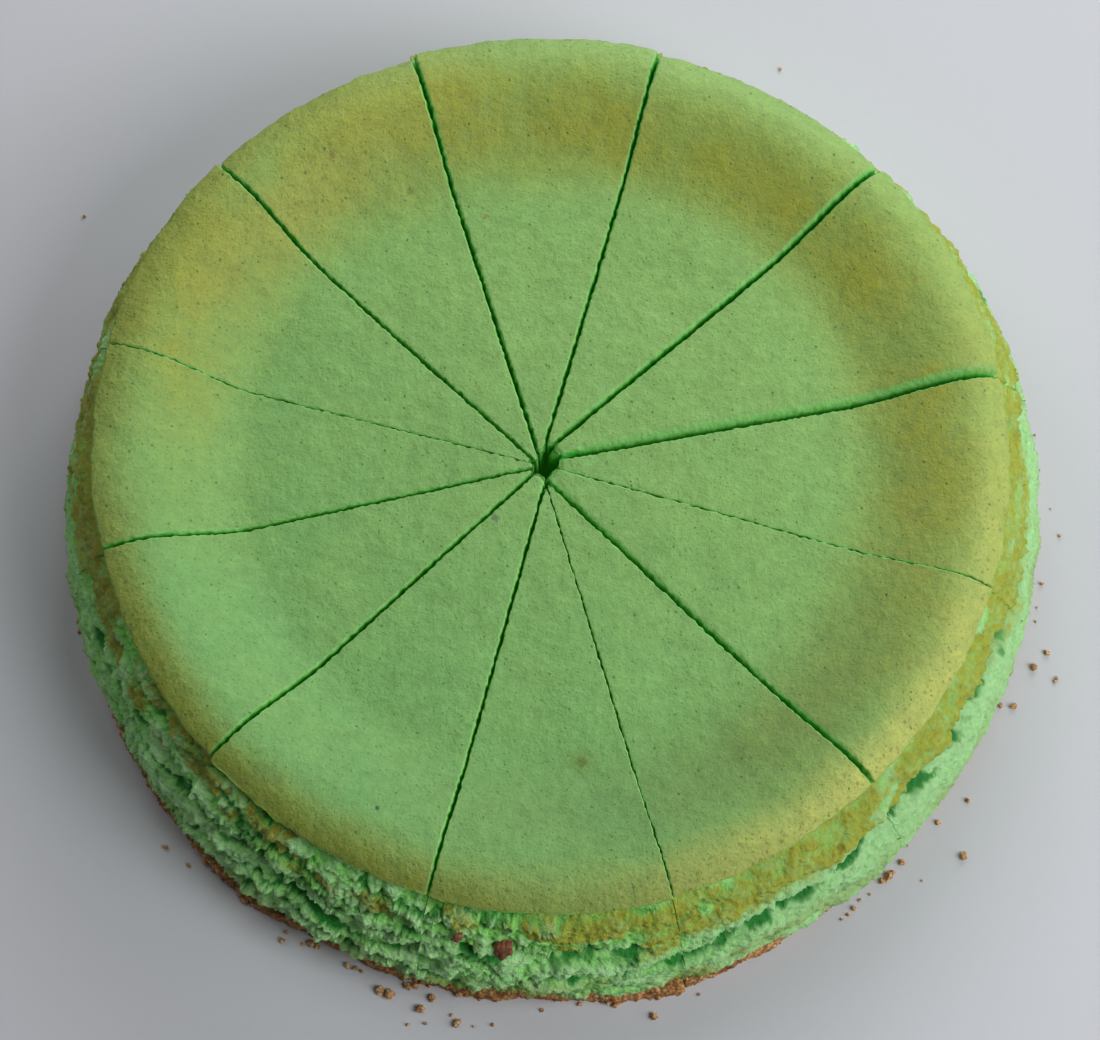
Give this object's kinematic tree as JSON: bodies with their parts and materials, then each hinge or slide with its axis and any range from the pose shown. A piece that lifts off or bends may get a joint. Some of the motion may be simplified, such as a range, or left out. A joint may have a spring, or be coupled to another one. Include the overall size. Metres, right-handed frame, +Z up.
{
  "type": "sliced cheesecake",
  "caption": "Round green cheesecake with a dished top, a torn crumbly wall and a thin biscuit base, cut into slices that still stand together as the whole cake.",
  "frame": {"origin": "on the surface that the cake stands on, under the middle of its outline", "axes": "+Z up; the picture looks along +Y from steeply above, with +X to its right"},
  "size_m": [0.2515, 0.2511, 0.0517],
  "materials": {
    "filling": "baked cheese filling: a matte finely pored green skin on top, toasted golden brown in places, over a moist crumb",
    "biscuit": "dull brown pressed biscuit crumb"
  },
  "bodies": {
    "root": {"filling_01": "filling", "filling_02": "filling", "filling_03": "filling", "filling_04": "filling", "filling_05": "filling", "filling_06": "filling", "filling_07": "filling", "filling_08": "filling", "filling_09": "filling", "filling_10": "filling", "filling_11": "filling", "filling_12": "filling", "biscuit_01": "biscuit", "biscuit_02": "biscuit", "biscuit_03": "biscuit", "biscuit_04": "biscuit", "biscuit_05": "biscuit", "biscuit_06": "biscuit", "biscuit_07": "biscuit", "biscuit_08": "biscuit", "biscuit_09": "biscuit", "biscuit_10": "biscuit", "biscuit_11": "biscuit", "biscuit_12": "biscuit"}
  },
  "joints": []
}
